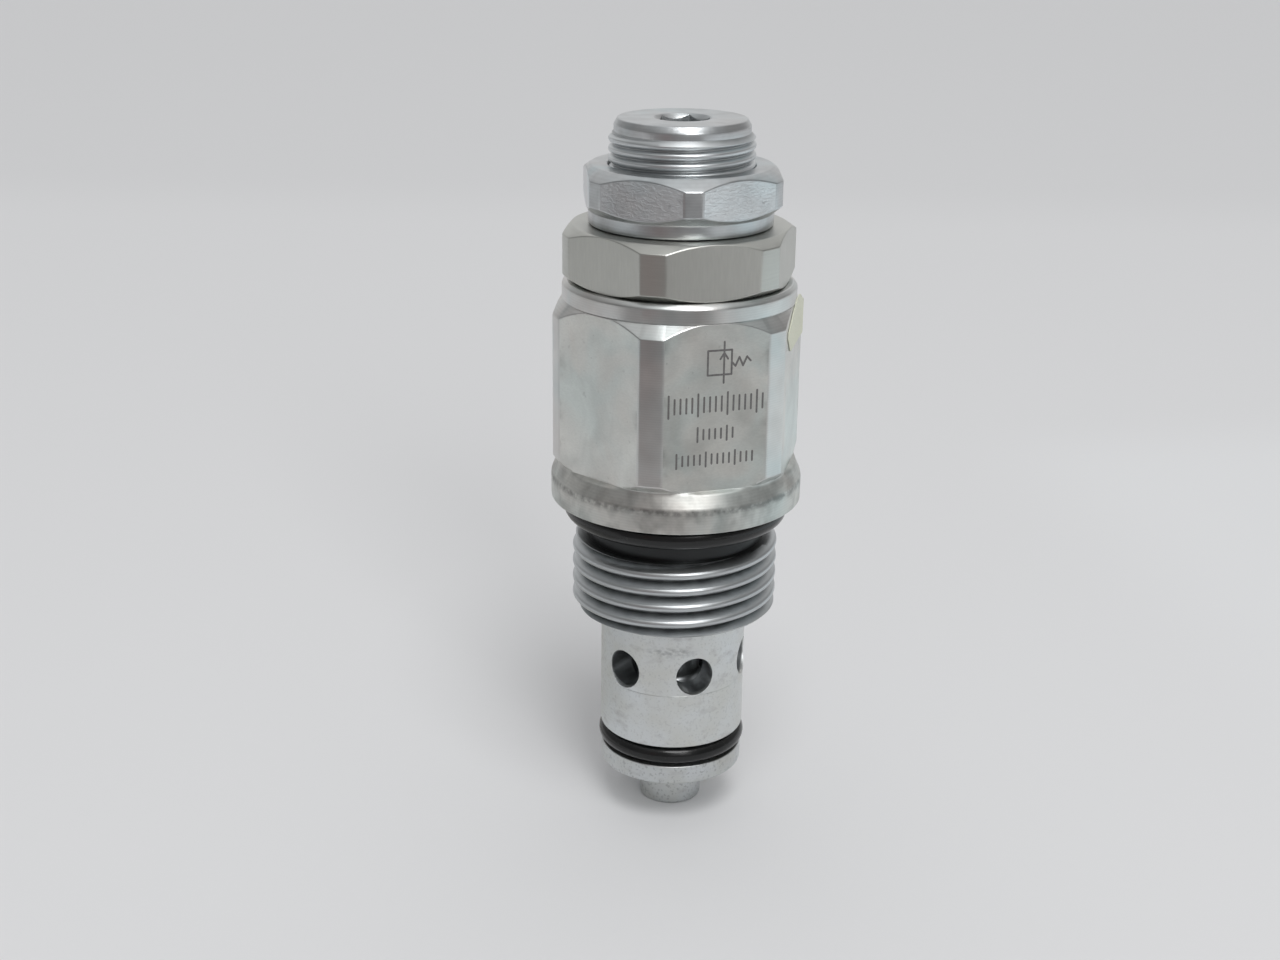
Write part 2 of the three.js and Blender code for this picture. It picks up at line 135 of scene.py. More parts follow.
def reach(hexagon, angle):
    """Radius of a hexagon with turned corners at an angle in radians."""
    away = (angle - math.radians(hexagon["facing"]) + TURN / 12) % (TURN / 6) - TURN / 12
    flat = hexagon["across"] / 2 / math.cos(away)
    corner = hexagon["corner"]
    if corner is None:
        return flat
    near = max(EDGE - abs(flat - corner), 0) / EDGE
    return min(flat, corner) - near * near * EDGE / 4


def hexagon_columns(hexagon):
    """Angles that follow a hexagon closely: even over flats and corners, dense where they meet."""
    corner = hexagon["corner"] or hexagon["across"] / 2 / math.cos(TURN / 12)
    half = math.acos(hexagon["across"] / 2 / corner)
    angles = set()
    for side in range(6):
        middle = math.radians(hexagon["facing"]) + side * TURN / 6
        for step in range(13):
            angles.add(middle + half * (step / 6 - 1))
        for step in range(1, 6):
            angles.add(middle + half + (TURN / 6 - 2 * half) * step / 6)
        for offset in MEETING_ANGLES:
            angles.add(middle + half + offset)
            angles.add(middle - half + offset)
    return sorted({round(a % TURN, 6) for a in angles})


def round_columns(count=ROUND_COLUMNS):
    return [TURN * i / count for i in range(count)]


def loft(outline_at, angles, closed):
    """Vertices and faces of a skin round the axis. outline_at(angle) gives that column's outline."""
    columns = [rounded(outline_at(angle), closed) for angle in angles]
    rows = len(columns[0])
    vertices = [
        (r * math.sin(angle) * MM, -r * math.cos(angle) * MM, z * MM)
        for angle, column in zip(angles, columns)
        for r, z in column
    ]
    faces = []
    for i in range(len(angles)):
        here = i * rows
        there = (i + 1) % len(angles) * rows
        for j in range(rows if closed else rows - 1):
            above = (j + 1) % rows
            faces.append((here + j, there + j, there + above, here + above))
    return vertices, faces


def threaded_rod(thread, bottom, top, columns):
    """A closed rod with a right-hand thread, a turn longer than asked at each end."""
    major, root, pitch = thread["major"], thread["root"], thread["pitch"]
    crest = thread["crest_half"]
    foot = crest + (major - root) * math.tan(math.radians(30))
    soft = pitch * 0.15
    section = rounded(
        [
            (root, -pitch / 2, 0), (root, -foot, soft), (major, -crest, soft),
            (major, crest, soft), (root, foot, soft), (root, pitch / 2, 0),
        ],
        closed=False,
    )[:-1]
    rows = len(section)
    first = math.floor((bottom - thread["first_crest"]) / pitch * columns) - columns
    steps = math.ceil((top - thread["first_crest"]) / pitch * columns) + columns - first
    vertices = []
    for step in range(steps + 1):
        turn = (first + step) / columns
        for radius, rise in section:
            z = thread["first_crest"] + pitch * turn + rise
            x, y = radius * math.cos(TURN * turn), radius * math.sin(TURN * turn)
            vertices.append((x * MM, y * MM, z * MM))
    below = len(vertices)
    vertices.append((0, 0, vertices[0][2]))
    vertices.append((0, 0, vertices[below - 1][2]))
    faces = []
    for step in range(steps):
        for j in range(rows - 1):
            here = step * rows + j
            faces.append((here, here + rows, here + rows + 1, here + 1))
    for step in range(steps - columns):
        low = step * rows + rows - 1
        high = (step + columns) * rows
        faces.append((low, low + rows, high + rows, high))
    lower = [step * rows for step in range(columns + 1)] + list(range(rows - 1, 0, -1))
    upper = [(steps - step) * rows + rows - 1 for step in range(columns + 1)]
    upper += [steps * rows + j for j in range(rows - 1)]
    for edge, centre in ((lower, below), (upper, below + 1)):
        for k, point in enumerate(edge):
            faces.append((edge[(k + 1) % len(edge)], point, centre))
    return vertices, faces


def helix_tube(radius, wire, heights, sides=14):
    """A round wire along the heights given at even angle steps: [(turns, z), ...]."""
    vertices, faces = [], []
    for turns, z in heights:
        across = Vector((math.cos(TURN * turns), math.sin(TURN * turns), 0))
        for side in range(sides):
            angle = TURN * side / sides
            point = across * (radius + wire / 2 * math.cos(angle))
            point.z = z + wire / 2 * math.sin(angle)
            vertices.append(tuple(point * MM))
    for i in range(len(heights) - 1):
        for side in range(sides):
            beside = (side + 1) % sides
            low, high = i * sides, (i + 1) * sides
            faces.append((low + side, low + beside, high + beside, high + side))
    faces.append(tuple(range(sides - 1, -1, -1)))
    faces.append(tuple(range((len(heights) - 1) * sides, len(heights) * sides)))
    return vertices, faces


def torus(radius, section, z, sides=28):
    """A ring of round section about the valve's axis."""
    ring = [
        (radius + section * math.cos(TURN * s / sides), z + section * math.sin(TURN * s / sides), 0)
        for s in range(sides)
    ]
    return loft(lambda angle: ring, round_columns(), closed=True)


def mesh_from(name, *shells):
    """One mesh from one or more (vertices, faces) shells, with poles closed and faces outward."""
    mesh = bpy.data.meshes.new(name)
    build = bmesh.new()
    for vertices, faces in shells:
        made = [build.verts.new(v) for v in vertices]
        for face in faces:
            build.faces.new([made[i] for i in face])
    bmesh.ops.remove_doubles(build, verts=build.verts, dist=1e-8)
    bmesh.ops.dissolve_degenerate(build, edges=build.edges, dist=1e-8)
    bmesh.ops.recalc_face_normals(build, faces=build.faces)
    build.to_mesh(mesh)
    build.free()
    return mesh


def add_object(name, data):
    """An object with the given mesh, camera or light, linked into the scene."""
    made = bpy.data.objects.new(name, data)
    bpy.context.scene.collection.objects.link(made)
    return made


def close_slivers(mesh, size):
    """Merges corners closer than the size, and drops the slivers between them."""
    build = bmesh.new()
    build.from_mesh(mesh)
    bmesh.ops.remove_doubles(build, verts=build.verts, dist=size)
    bmesh.ops.dissolve_degenerate(build, edges=build.edges, dist=size)
    build.to_mesh(mesh)
    build.free()


def boolean(mesh, tool_shell, operation):
    """The mesh cut or kept by a tool, as a new mesh."""
    base = add_object("base", mesh)
    tool = add_object("tool", mesh_from("tool", tool_shell))
    modifier = base.modifiers.new("cut", "BOOLEAN")
    modifier.operation = operation
    modifier.solver = "EXACT"
    modifier.object = tool
    graph = bpy.context.evaluated_depsgraph_get()
    result = bpy.data.meshes.new_from_object(base.evaluated_get(graph))
    bpy.data.objects.remove(base)
    bpy.data.objects.remove(tool)
    close_slivers(result, CUT_SLIVER * MM)
    return result


def smooth(mesh, sharp_degrees=38):
    """Smooth shading that breaks at edges sharper than the angle."""
    build = bmesh.new()
    build.from_mesh(mesh)
    for face in build.faces:
        face.smooth = True
    for edge in build.edges:
        edge.smooth = edge.is_manifold and edge.calc_face_angle(0) < math.radians(sharp_degrees)
    build.to_mesh(mesh)
    build.free()


def paint_flats(mesh, hexagon, z_range, slot_index):
    """Gives a hexagon's flats another material slot than its turned surfaces."""
    for polygon in mesh.polygons:
        normal, centre = polygon.normal, polygon.center / MM
        if abs(normal.z) > 0.05 or not z_range[0] < centre.z < z_range[1]:
            continue
        facing = math.degrees(math.atan2(normal.x, -normal.y)) - hexagon["facing"]
        off = abs((facing + 30) % 60 - 30)
        if off < 2 and abs(centre.dot(normal) - hexagon["across"] / 2) < 0.1:
            polygon.material_index = slot_index


def piece(name, mesh, body, materials, replaces=()):
    """Adds a finished piece that rides a body and stands for CAD nodes."""
    for material in materials:
        mesh.materials.append(material)
    made = add_object(name, mesh)
    smooth(mesh)
    weighted = made.modifiers.new("even_shading", "WEIGHTED_NORMAL")
    weighted.keep_sharp = True
    if body:
        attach(made, body)
    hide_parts(*replaces)
    return made


# ---- Materials -------------------------------------------------------------------------------

class Nodes:
    """A node tree under construction."""

    def __init__(self, tree, place):
        self.tree = tree
        self.place = self.node("ShaderNodeTexCoord").outputs[place]

    def node(self, kind, settings=None, **inputs):
        made = self.tree.nodes.new(kind)
        for key, value in (settings or {}).items():
            setattr(made, key, value)
        for key, value in inputs.items():
            self.feed(made.inputs[key.replace("_", " ")], value)
        return made

    def feed(self, socket, value):
        if isinstance(value, bpy.types.NodeSocket):
            self.tree.links.new(value, socket)
        else:
            socket.default_value = value

    def math(self, operation, a, b=0.0):
        made = self.node("ShaderNodeMath", {"operation": operation})
        self.feed(made.inputs[0], a)
        self.feed(made.inputs[1], b)
        return made.outputs[0]

    def vector_math(self, operation, a, b=None):
        made = self.node("ShaderNodeVectorMath", {"operation": operation})
        self.feed(made.inputs[0], a)
        if b is not None:
            self.feed(made.inputs[1], b)
        return made.outputs["Value"]

    def step(self, value, start, end, low=0.0, high=1.0):
        """A soft step from low to high as the value goes from start to end."""
        made = self.node(
            "ShaderNodeMapRange", {"interpolation_type": "SMOOTHSTEP"}, Value=value,
            From_Min=start, From_Max=end, To_Min=low, To_Max=high,
        )
        return made.outputs["Result"]

    def mix(self, factor, a, b, blend="MIX"):
        made = self.node("ShaderNodeMix", {"data_type": "RGBA", "blend_type": blend})
        self.feed(made.inputs[0], factor)
        self.feed(made.inputs[6], a)
        self.feed(made.inputs[7], b)
        return made.outputs[2]


class Surface(Nodes):
    """A material under construction, in the valve's own coordinates (metres)."""

    def __init__(self, name, **sockets):
        self.material = bpy.data.materials.new(name)
        self.material.use_nodes = True
        super().__init__(self.material.node_tree, "Object")
        self.shader = self.tree.nodes["Principled BSDF"]
        for socket, value in sockets.items():
            self.shader.inputs[socket.replace("_", " ")].default_value = value

    def stretched(self, scale):
        return self.node("ShaderNodeMapping", Vector=self.place, Scale=scale).outputs["Vector"]

    def noise(self, grain_mm, detail=3.0, stretch=None, swirl=0.0):
        where = self.stretched(stretch) if stretch else self.place
        made = self.node(
            "ShaderNodeTexNoise", Vector=where, Scale=1 / (grain_mm * MM), Detail=detail,
            Distortion=swirl,
        )
        return made.outputs["Fac"]

    def lines(self, spacing_mm):
        """Fine level rings such as turning marks, a little uneven."""
        made = self.node(
            "ShaderNodeTexWave", {"bands_direction": "Z"}, Vector=self.place,
            Scale=TURN / 20 / (spacing_mm * MM), Distortion=1.5, Detail=2.0, Detail_Scale=2.0,
        )
        return made.outputs["Fac"]

    def ramp(self, value, stops):
        """Maps a value through [(position, grey or colour), ...]."""
        made = self.node("ShaderNodeValToRGB", Fac=value)
        elements = made.color_ramp.elements
        while len(elements) < len(stops):
            elements.new(0.5)
        for element, (position, colour) in zip(elements, stops):
            element.position = position
            element.color = colour if hasattr(colour, "__len__") else (colour, colour, colour, 1)
        return made.outputs["Color"]

    def split(self):
        """The place's three coordinates."""
        made = self.node("ShaderNodeSeparateXYZ", Vector=self.place)
        return made.outputs["X"], made.outputs["Y"], made.outputs["Z"]

    def from_axis(self):
        """Distance from the valve's axis, in millimetres."""
        return self.vector_math("LENGTH", self.stretched((1 / MM, 1 / MM, 0)))

    def colour(self, value):
        self.feed(self.shader.inputs["Base Color"], value)

    def roughness(self, value, low, high):
        made = self.node("ShaderNodeMapRange", Value=value, To_Min=low, To_Max=high)
        self.feed(self.shader.inputs["Roughness"], made.outputs["Result"])

    def bump(self, *layers):
        """Stacks (height, depth_mm) layers of bump."""
        normal = None
        for height, depth in layers:
            made = self.node("ShaderNodeBump", Height=height, Strength=1.0, Distance=depth * MM)
            if normal:
                self.feed(made.inputs["Normal"], normal)
            normal = made.outputs["Normal"]
        self.feed(self.shader.inputs["Normal"], normal)


def grey(value, tint=(1, 1, 1)):
    return (value * tint[0], value * tint[1], value * tint[2], 1)


GREENISH = (0.985, 1.0, 0.96)
BLUISH = (0.96, 1.0, 1.02)
PINKISH = (1.02, 0.99, 0.985)
WARM = (0.995, 1.005, 0.95)


def passivated(made, plate):
    """Washes a zinc colour with the faint pink and blue of its clear passivation."""
    wash = made.noise(8, 2, swirl=0.6)
    film = made.ramp(wash, [(0.36, (1, 0.97, 0.96, 1)), (0.5, 1), (0.62, (0.94, 0.99, 1, 1))])
    return made.mix(1.0, plate, film, "MULTIPLY")


def zinc_flat(name, tone, tint, hexagon, grain_mm=0.3, grain_depth=0.006, swirl=0.0):
    """Milled flat under zinc plate: clouds, dull spots, a fine grain and rubbed upright edges."""
    made = Surface(name, Metallic=1.0)
    cloud = made.noise(4.5, 5, swirl=0.5)
    spot = made.ramp(made.noise(0.8, 2), [(0.0, 1), (0.26, 1), (0.31, 0), (1.0, 0)])
    grain = made.noise(grain_mm, 3, stretch=(1, 1, 2), swirl=swirl)
    plate = made.ramp(cloud, [(0.3, grey(tone * 0.85, tint)), (0.7, grey(tone * 1.09, tint))])
    grained = made.mix(0.09, plate, made.ramp(grain, [(0.35, 0.3), (0.65, 1)]), "MULTIPLY")
    spotted = made.mix(made.math("MULTIPLY", spot, 0.35), grained, grey(tone * 0.55, tint))
    edge = made.step(made.from_axis(), hexagon["corner"] - 0.55, hexagon["corner"])
    rubbed = made.ramp(made.noise(2.4, 6), [(0.52, 0), (0.72, 0.6)])
    worn = made.mix(made.math("MULTIPLY", edge, rubbed), spotted, grey(tone * 0.3, tint))
    made.colour(passivated(made, worn))
    made.roughness(cloud, 0.27, 0.38)
    made.bump((cloud, 0.03), (grain, grain_depth))
    return made.material


def zinc_turned(name, tone, tint, line_mm=0.25, worn=0.0, dull=0.0, ridge=None):
    """Turned surface under zinc plate: the lathe's fine rings, dull smears and, where a ridge height
    is given, a darker speckled band just under it.
    """
    made = Surface(name, Metallic=1.0)
    cloud = made.noise(3, 4)
    rings = made.lines(line_mm)
    plate = made.ramp(cloud, [(0.3, grey(tone * 0.9, tint)), (0.7, grey(tone * 1.06, tint))])
    ringed = made.mix(0.07, plate, made.ramp(rings, [(0.2, 0.35), (0.8, 1.0)]), "MULTIPLY")
    smear = made.noise(1.9, 8, swirl=0.3)
    mottle = made.ramp(smear, [(0.44, 0), (0.68, 1)])
    smeared = made.mix(made.math("MULTIPLY", mottle, worn), ringed, grey(tone * 0.35, tint))
    # A darker speckled band from about 0.3 mm above the ridge height to about 0.9 mm below it.
    if ridge:
        height = made.split()[2]
        below = made.math("SUBTRACT", ridge * MM, height)
        starts = made.step(below, -0.3 * MM, 0.1 * MM)
        fades = made.step(below, 0.2 * MM, 0.9 * MM, 1, 0)
        near = made.math("MULTIPLY", starts, fades)
        ridge_band = made.ramp(made.noise(0.7, 8), [(0.38, 0.1), (0.6, 0.75)])
        smeared = made.mix(made.math("MULTIPLY", near, ridge_band), smeared, grey(tone * 0.3, tint))
    made.colour(passivated(made, smeared))
    made.roughness(cloud, 0.24 + dull, 0.35 + dull)
    made.bump((cloud, 0.012), (rings, 0.001))
    return made.material


def zinc_thread(name, thread, root_shade, bright):
    """Zinc plate in a thread: darker towards the roots as painted shade, lighter on the crests, in
    uneven patches.
    """
    made = Surface(name, Metallic=1.0)
    depth = thread["major"] - thread["root"]
    height = made.math("DIVIDE", made.math("SUBTRACT", made.from_axis(), thread["root"]), depth)
    patch = made.noise(1.6, 4)
    uneven = made.math("MULTIPLY", made.math("SUBTRACT", patch, 0.5), 0.5)
    # Painted shade: the colour darkens with depth, from the crest tone down to the root tone.
    stops = [
        (0.0, grey(root_shade, BLUISH)), (0.3, grey((root_shade + bright) / 2, BLUISH)),
        (0.7, grey(bright, BLUISH)),
    ]
    made.colour(made.ramp(made.math("ADD", height, uneven), stops))
    made.roughness(patch, 0.30, 0.42)
    made.bump((patch, 0.015), (made.noise(0.3, 2), 0.002))
    return made.material


def bare_steel(name, tone, tint, stretch, grain_mm=0.2):
    """Unplated machined steel with fine streaks along the stretch."""
    made = Surface(name, Metallic=1.0)
    streaks = made.noise(grain_mm, 3, stretch=stretch)
    cloud = made.noise(3.5, 4)
    base = made.ramp(streaks, [(0.3, grey(tone * 0.95, tint)), (0.7, grey(tone * 1.03, tint))])
    made.colour(made.mix(made.math("MULTIPLY", cloud, 0.35), base, grey(tone * 0.8, tint)))
    made.roughness(cloud, 0.30, 0.40)
    made.bump((streaks, 0.002), (cloud, 0.01))
    return made.material


def sleeve_steel(name, low, high, pepper_depth, smudge=None):
    """Matte ground steel with faint specks, a few dull smears and, where asked, one darker streaky
    smudge.
    """
    made = Surface(name, Metallic=1.0)
    cloud = made.noise(4, 5)
    pepper = made.ramp(made.noise(0.3, 3), [(0.0, 1), (0.36, 1), (0.44, 0), (1.0, 0)])
    smear_shape = made.noise(2.0, 5, stretch=(1, 1, 2))
    smear = made.ramp(smear_shape, [(0.56, 0), (0.74, 1)])
    base = made.ramp(cloud, [(0.3, grey(low, GREENISH)), (0.7, grey(high, BLUISH))])
    dotted = made.mix(made.math("MULTIPLY", pepper, pepper_depth), base, grey(0.25, BLUISH))
    worn = made.mix(made.math("MULTIPLY", smear, 0.35), dotted, grey(0.33, PINKISH))
    # One darker streaky smudge, flattened into a wide oval round the given spot.
    if smudge:
        squeeze = 4.5
        flattened = made.stretched((1, 1, squeeze))
        centre = (smudge[0] * MM, smudge[1] * MM, smudge[2] * squeeze * MM)
        near = made.step(made.vector_math("DISTANCE", flattened, centre), 3.6 * MM, 1.0 * MM)
        streaky = made.ramp(made.noise(0.5, 4, stretch=(1, 1, 1.6)), [(0.35, 0), (0.7, 0.8)])
        worn = made.mix(made.math("MULTIPLY", near, streaky), worn, grey(0.36, BLUISH))
    made.colour(worn)
    made.roughness(cloud, 0.36, 0.48)
    made.bump((made.lines(0.2), 0.0015), (made.noise(0.25, 3), 0.004))
    return made.material


def rubber(name):
    """Glossy black nitrile with a little dust."""
    made = Surface(name, Specular_IOR_Level=0.42)
    dust = made.ramp(made.noise(0.35, 2), [(0.68, 0), (0.74, 1)])
    made.colour(made.mix(made.math("MULTIPLY", dust, 0.25), grey(0.008, BLUISH), grey(0.09)))
    made.roughness(made.noise(1.2, 3), 0.12, 0.24)
    made.bump((made.noise(0.5, 3), 0.012))
    return made.material


def paper(name):
    """Pale yellow label paper with soft fibres."""
    made = Surface(name)
    fibre = made.noise(0.4, 4, stretch=(1, 1, 3))
    made.colour(made.ramp(fibre, [(0.3, (0.67, 0.69, 0.56, 1)), (0.7, (0.74, 0.75, 0.63, 1))]))
    made.roughness(fibre, 0.65, 0.8)
    made.bump((fibre, 0.015))
    return made.material


def plastic(name):
    """Natural white backup-ring plastic."""
    made = Surface(name, Specular_IOR_Level=0.4)
    cloud = made.noise(1.5, 3)
    made.colour(made.ramp(cloud, [(0.3, (0.78, 0.77, 0.72, 1)), (0.7, (0.85, 0.84, 0.80, 1))]))
    made.roughness(cloud, 0.4, 0.55)
    made.bump((cloud, 0.01))
    return made.material


def etching(name):
    """Dull grey oxide left by a marking laser."""
    made = Surface(name, Metallic=0.6)
    grain = made.noise(0.2, 3)
    made.colour(made.ramp(grain, [(0.3, grey(0.13, PINKISH)), (0.7, grey(0.20, PINKISH))]))
    made.roughness(grain, 0.5, 0.7)
    made.bump((grain, 0.004))
    return made.material


ZINC_FLAT = zinc_flat("zinc_flat", 0.69, GREENISH, BODY_HEX)
ZINC_NUT_FLAT = zinc_flat("zinc_nut_flat", 0.76, BLUISH, NUT_HEX, 0.45, 0.05, swirl=0.7)
ZINC_TURNED = zinc_turned("zinc_turned", 0.64, (1, 1, 0.98), dull=0.02)
ZINC_FLANGE = zinc_turned("zinc_flange", 0.62, GREENISH, 0.3, 0.45, 0.14, FLANGE_TOP)
ZINC_SCREW = zinc_turned("zinc_screw", 0.62, BLUISH, 0.3, worn=0.2, dull=0.05)
THREAD_BODY = zinc_thread("zinc_cavity_thread", CAVITY_THREAD, 0.17, 0.55)
THREAD_SCREW = zinc_thread("zinc_adjuster_thread", ADJUSTER_THREAD, 0.42, 0.66)
# Painted shade: near-black steel for the undercut below the boss O-ring, where shade falls.
GROOVE_SHADE = bare_steel("painted_shade_groove", 0.05, BLUISH, (0.1, 0.1, 1))
# Bored steel; its low tone is also painted shade in the drilled ports and on the parts seen through
# them.
SHADED_BORE = bare_steel("bored_steel_and_shade", 0.5, BLUISH, (1, 1, 1))
CAP_FLAT = bare_steel("cap_flat_steel", 0.56, WARM, (1, 1, 0.12))
CAP_TURNED = bare_steel("cap_turned_steel", 0.55, WARM, (0.06, 0.06, 1))
SMUDGE_SPOT = (-2.4, -7.5, 20.8)  # where the sleeve has its one darker streaky smudge
SLEEVE = sleeve_steel("sleeve_steel", 0.66, 0.75, 0.16, SMUDGE_SPOT)
# Painted shade: the seat's steel is darker than the sleeve's, for the shaded floor it mirrors near
# the tip; its denser specks are pitting.
SHADED_SEAT = sleeve_steel("seat_steel_painted_shade", 0.56, 0.67, 0.4)
HARDENED = bare_steel("hardened_steel", 0.5, BLUISH, (0.1, 0.1, 1))
SPRING_WIRE = bare_steel("spring_wire", 0.25, BLUISH, (1, 1, 1))
RUBBER = rubber("seal_rubber")
PAPER = paper("label_paper")
PLASTIC = plastic("backup_plastic")
ETCHING = etching("etched_mark")


# ---- Pieces ----------------------------------------------------------------------------------

def lathe(name, outline, body, materials, node=None, closed=True, columns=ROUND_COLUMNS):
    """A round piece from an outline of (radius, z, corner size)."""
    shell = loft(lambda angle: outline, round_columns(columns), closed)
    return piece(name, mesh_from(name, shell), body, materials, [node or name])


def build_inlet_seat():
    tip_radius, collar_radius = 3.41, 7.82
    shoulder, collar_top, groove, shank = 4.92, 7.04, 6.2, 5.75
    groove_top = SLEEVE_Z - 0.05
    seat_mouth, seat_edge = 3.2, 2.6
    seat_z, pocket_z = SEAT_TOP - 0.6, SEAT_TOP - 1.4
    outline = [
        (INLET_RADIUS, TIP_Z, 0.15), (tip_radius, TIP_Z, 0.4), (tip_radius, shoulder, 0.15),
        (collar_radius, shoulder, 0.28), (collar_radius, collar_top, 0.12), (groove, collar_top, 0.1),
        (groove, groove_top, 0.05), (shank, groove_top, 0.05), (shank, SEAT_TOP, 0.15),
        (seat_mouth, SEAT_TOP, 0.05), (seat_edge, seat_z, 0.05), (seat_edge, pocket_z, 0.1),
        (INLET_RADIUS, pocket_z, 0.1),
    ]
    lathe("inlet_seat_piece", outline, "housing", [SHADED_SEAT], "inlet_seat")


def build_sleeve():
    spigot, shank_bore, scribed = SPRING_BORE - 0.1, 5.8, 15.6
    shoulder, ledge = BODY_Z - 0.05, SEAT_TOP + 0.1
    outline = [
        (shank_bore, SLEEVE_Z, 0.1), (SLEEVE_RADIUS, SLEEVE_Z, 0.2),
        (SLEEVE_RADIUS, scribed - 0.1, 0), (SLEEVE_RADIUS - 0.05, scribed, 0),
        (SLEEVE_RADIUS, scribed + 0.1, 0), (SLEEVE_RADIUS, shoulder, 0.1), (spigot, shoulder, 0.1),
        (spigot, SLEEVE_TOP, 0.25), (GUIDE_BORE, SLEEVE_TOP, 0.1), (GUIDE_BORE, ledge, 0.1),
        (shank_bore, ledge, 0.1),
    ]
    mesh = mesh_from("nose", loft(lambda angle: outline, round_columns(), closed=True))
    drill_start, drill_end = 3.5, SLEEVE_RADIUS + 0.9
    chamfer_start, chamfer_end = SLEEVE_RADIUS - 0.42, PORT_RADIUS + 0.48
    drill = [
        (0, drill_start, 0), (PORT_RADIUS, drill_start, 0), (PORT_RADIUS, chamfer_start, 0),
        (chamfer_end, drill_end, 0), (0, drill_end, 0),
    ]
    for port in range(6):
        vertices, faces = loft(lambda angle: drill, round_columns(48), closed=False)
        turn = Matrix.Rotation(TURN * port / 6, 4, "Z") @ Matrix.Rotation(TURN / 4, 4, "X")
        placed = [tuple(Vector((0, 0, PORT_Z * MM)) + turn @ Vector(v)) for v in vertices]
        mesh = boolean(mesh, (placed, faces), "DIFFERENCE")
    # The drilled port walls take the bored steel, darker than the sleeve: painted shade inside the
    # ports.
    for polygon in mesh.polygons:
        from_axis = polygon.center.xy.length / MM
        if GUIDE_BORE + 0.1 < from_axis < SLEEVE_RADIUS - 0.3 and polygon.center.z > SEAT_TOP * MM:
            polygon.material_index = 1
    piece("nose_sleeve_piece", mesh, "housing", [SLEEVE, SHADED_BORE], ["nose_sleeve"])


def body_outline(angle):
    """Column of the body from the undercut, out over the flange, hexagon and collar, and back."""
    undercut, relief_z, relief_radius = 9.55, SEAT_FACE + 0.1, 12.2
    neck, hex_top, collar_z, collar, collar_bevel = 12.75, 56.58, 57.97, 12.226, 0.43
    cap_recess, cap_bore, cap_recess_z, spring_step_z = 11.0, 9.5, 58.2, 48.9
    crease = 0.12
    corner = BODY_HEX["corner"]
    flat = min(reach(BODY_HEX, angle), corner)
    ledge = max(flat - neck, 0)
    slope = (collar_z - hex_top) / (corner - collar)
    foot_z = collar_z - crease / 2
    shoulder = min(hex_top + (corner - flat) * slope, foot_z - 0.01)
    return [
        (SPRING_BORE, UNDERCUT_Z, 0), (undercut, UNDERCUT_Z, 0), (undercut, relief_z, 0.3),
        (relief_radius, relief_z, 0), (relief_radius, SEAT_FACE, 0),
        (FLANGE_RADIUS, SEAT_FACE, 0.12), (FLANGE_RADIUS, FLANGE_TOP, 0.25), (neck, HEX_Z - 0.2, 0.2),
        (min(neck, flat), HEX_Z + 0.02, 0.05), (flat, HEX_Z + 0.07 + ledge, 0.12),
        (flat, shoulder, 0.12), (min(flat, collar) - crease, foot_z, 0.02), (collar, collar_z, 0.03),
        (collar, BODY_TOP - collar_bevel, 0.15), (collar - collar_bevel, BODY_TOP, 0.1),
        (cap_recess, BODY_TOP, 0.05), (cap_recess, cap_recess_z, 0), (cap_bore, cap_recess_z, 0),
        (cap_bore, spring_step_z, 0), (SPRING_BORE, spring_step_z, 0),
    ]


def threaded_sleeve(thread, inner, bottom, top, columns):
    """Thread outside an inner radius, with its ends chamfered."""
    chamfer, clear = 0.5, 1
    start, rim = thread["major"] - chamfer, thread["major"] + clear
    envelope = [
        (inner, bottom, 0), (start, bottom, 0), (rim, bottom + chamfer + clear, 0),
        (rim, top - chamfer - clear, 0), (start, top, 0), (inner, top, 0),
    ]
    rod = mesh_from("rod", threaded_rod(thread, bottom, top, columns))
    kept = loft(lambda angle: envelope, round_columns(columns), closed=True)
    return boolean(rod, kept, "INTERSECT")


def build_body():
    mesh = mesh_from("body", loft(body_outline, hexagon_columns(BODY_HEX), closed=True))
    thread = threaded_sleeve(CAVITY_THREAD, SPRING_BORE, BODY_Z, UNDERCUT_Z, 120)
    paint_flats(mesh, BODY_HEX, (HEX_Z, BODY_TOP), 1)
    # Turned faces low on the body: flange zinc above the seat face, the near-black painted shade in
    # the undercut below it.
    for polygon in mesh.polygons:
        if polygon.center.z < (HEX_Z + 0.3) * MM and polygon.material_index == 0:
            polygon.material_index = 2 if polygon.center.z > SEAT_FACE * MM else 3
    piece(
        "body_hexagon", mesh, "housing",
        [ZINC_TURNED, ZINC_FLAT, ZINC_FLANGE, GROOVE_SHADE], ["valve_body"],
    )
    piece("body_thread", thread, "housing", [THREAD_BODY], ["valve_body"])


def cap_outline(angle):
    flat = reach(CAP_HEX, angle)
    corner, half = CAP_HEX["corner"], CAP_HEX["across"] / 2
    thread_bore, thread_z, head_bore, spigot = 7.6, 59.6, 8.1, 9.4
    lower, upper = CAP_Z + 0.73, CAP_TOP - 0.8
    return [
        (head_bore, CAP_SPIGOT_Z, 0.1), (spigot, CAP_SPIGOT_Z, 0.3), (spigot, CAP_Z, 0.05),
        (half - 0.05, CAP_Z, 0.05), (flat, lower - (corner - flat) * 0.73, 0.1),
        (flat, upper + (corner - flat) * 0.75, 0.12), (half - 0.12, CAP_TOP, 0.12),
        (thread_bore, CAP_TOP, 0.15), (thread_bore, thread_z, 0), (head_bore, thread_z, 0),
    ]


def build_cap():
    mesh = mesh_from("cap", loft(cap_outline, hexagon_columns(CAP_HEX), closed=True))
    paint_flats(mesh, CAP_HEX, (CAP_Z, CAP_TOP), 1)
    piece("end_cap_piece", mesh, "housing", [CAP_TURNED, CAP_FLAT], ["end_cap"])


